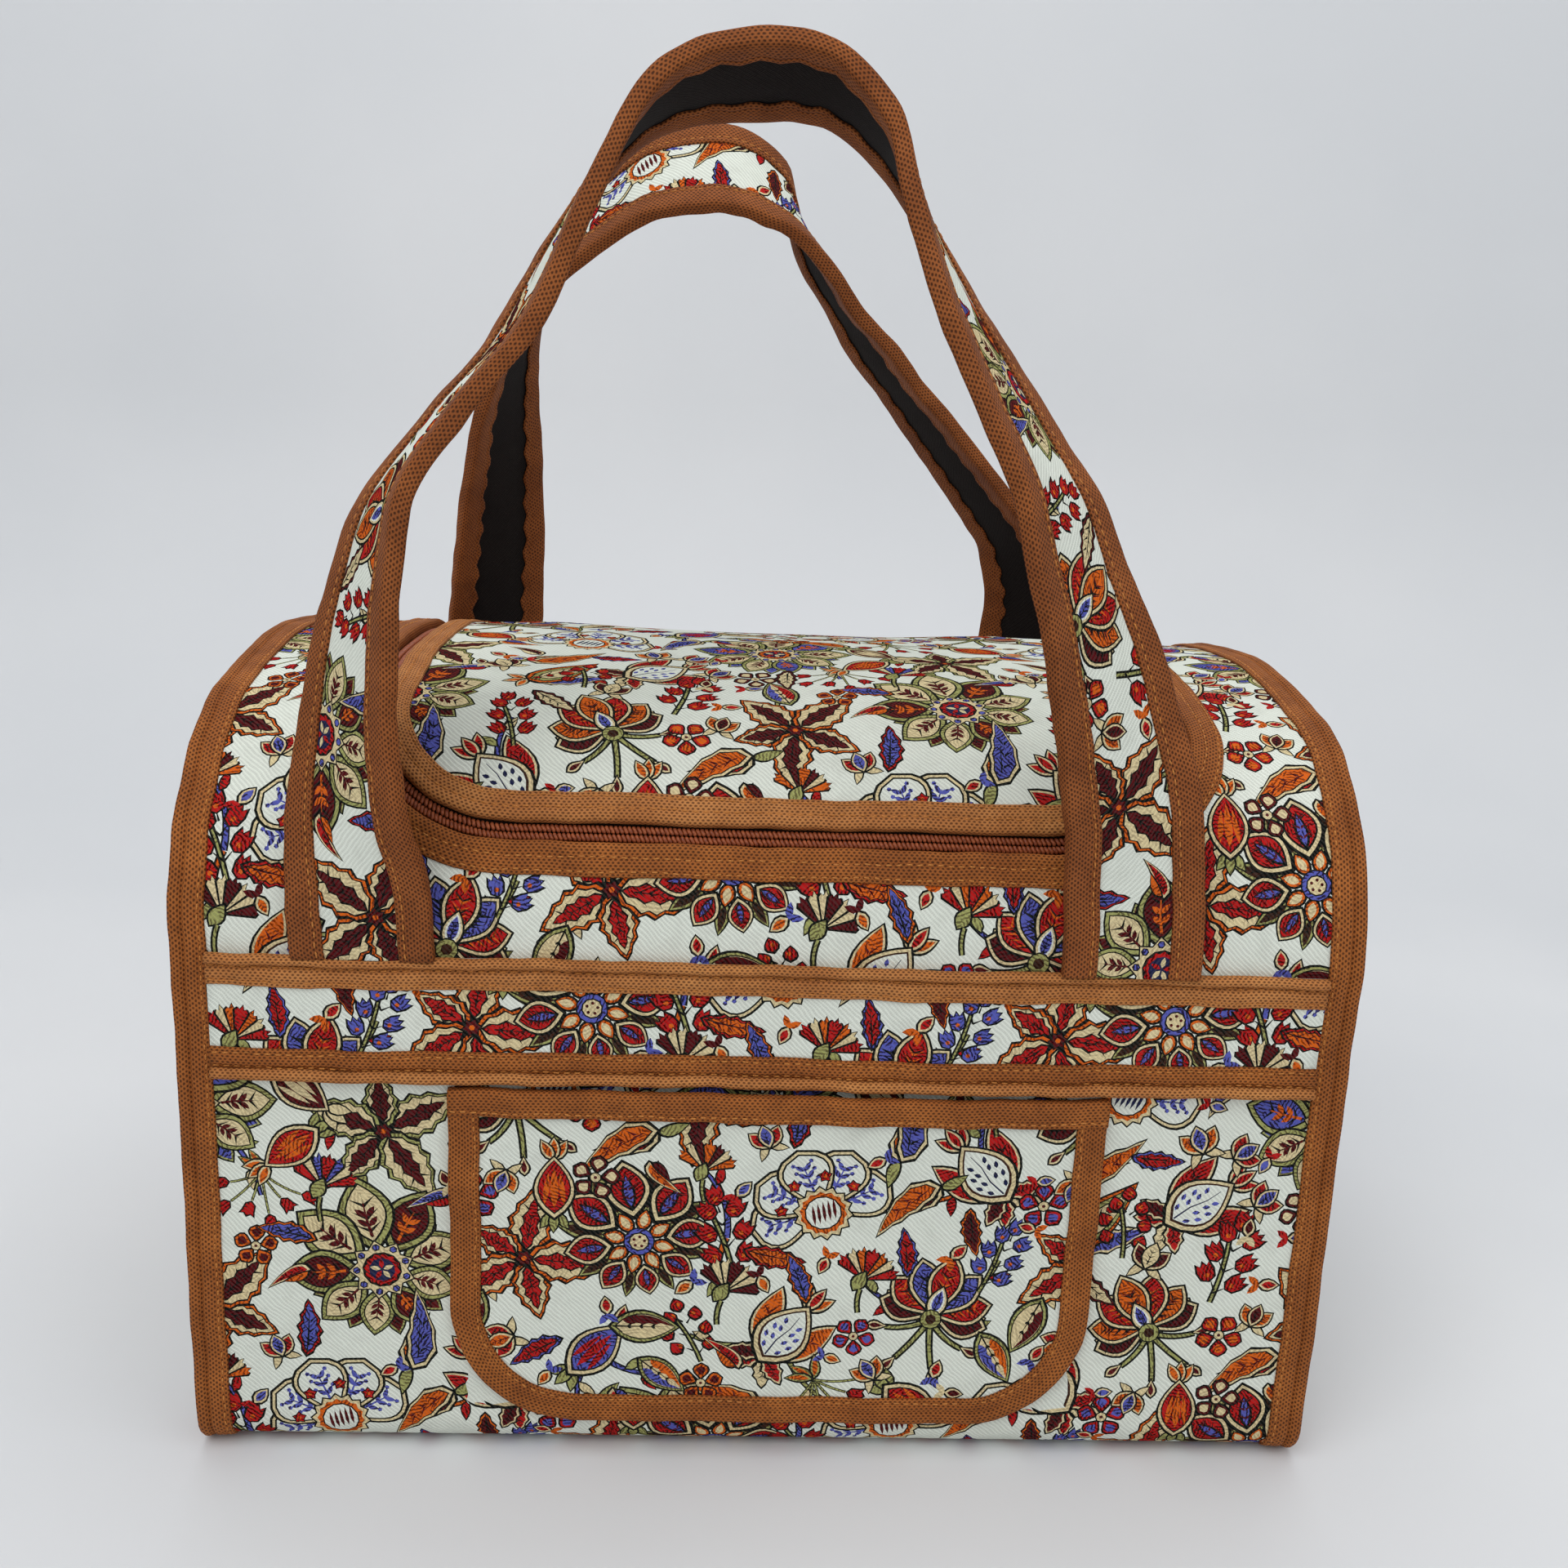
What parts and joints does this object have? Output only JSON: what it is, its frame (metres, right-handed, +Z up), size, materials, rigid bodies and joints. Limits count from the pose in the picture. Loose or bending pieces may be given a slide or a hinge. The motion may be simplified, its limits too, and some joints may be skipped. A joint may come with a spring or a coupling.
{
  "type": "soft-sided carpet bag",
  "caption": "Boxy soft bag with an arched top, zipped lid, printed foam-backed cloth, bound seams, front patch pocket and tall strap handles.",
  "frame": {"origin": "middle of the floor's outer face, on the surface that the bag stands on", "axes": "+Z up, -Y out of the front with the pocket, +X to the right of someone facing the front"},
  "size_m": [0.42, 0.3324, 0.5087],
  "materials": {
    "printed_cloth": "matte printed twill",
    "binding_tape": "matte embossed tape",
    "strap_lining": "matte felted cloth",
    "zip_cloth": "matte woven strip",
    "zip_coil": "satin nylon",
    "zip_metal": "satin antique"
  },
  "bodies": {
    "bag": {"lower_panel": "printed_cloth", "upper_panel": "printed_cloth", "end_panel_left": "printed_cloth", "end_panel_right": "printed_cloth", "front_band": "printed_cloth", "back_band": "printed_cloth", "pocket_panel": "printed_cloth", "front_handle_face": "printed_cloth", "back_handle_face": "printed_cloth", "end_binding_left": "binding_tape", "end_binding_right": "binding_tape", "opening_binding": "binding_tape", "front_band_top_binding": "binding_tape", "front_band_bottom_binding": "binding_tape", "back_band_top_binding": "binding_tape", "back_band_bottom_binding": "binding_tape", "pocket_edge_binding": "binding_tape", "pocket_top_binding": "binding_tape", "front_handle_inner_binding": "binding_tape", "front_handle_outer_binding": "binding_tape", "back_handle_inner_binding": "binding_tape", "back_handle_outer_binding": "binding_tape", "front_handle_lining": "strap_lining", "back_handle_lining": "strap_lining", "body_zip_strip": "zip_cloth", "body_zip_chain": "zip_coil", "zip_stops": "zip_metal"},
    "lid": {"lid_panel": "printed_cloth", "lid_binding": "binding_tape", "lid_zip_strip": "zip_cloth", "lid_zip_chain": "zip_coil"},
    "slider": {"zip_slider": "zip_metal"},
    "pull_tab": {"zip_pull_tab": "zip_metal"}
  },
  "joints": [
    {"name": "lid_hinge", "type": "hinge", "parent": "bag", "child": "lid", "pos_m": [0, 0.08184, 0.28367], "axis": [-1, 0, 0], "range_deg": [0, 60]},
    {"name": "slider_travel", "type": "hinge", "parent": "bag", "child": "slider", "pos_m": [0.15, 0.066, 0.20168], "axis": [1, 0, 0], "range_deg": [0, 12]},
    {"name": "pull_tab_hinge", "type": "hinge", "parent": "slider", "child": "pull_tab", "pos_m": [0.15, 0.10812, 0.27529], "axis": [1, 0, 0], "range_deg": [0, 100]}
  ]
}
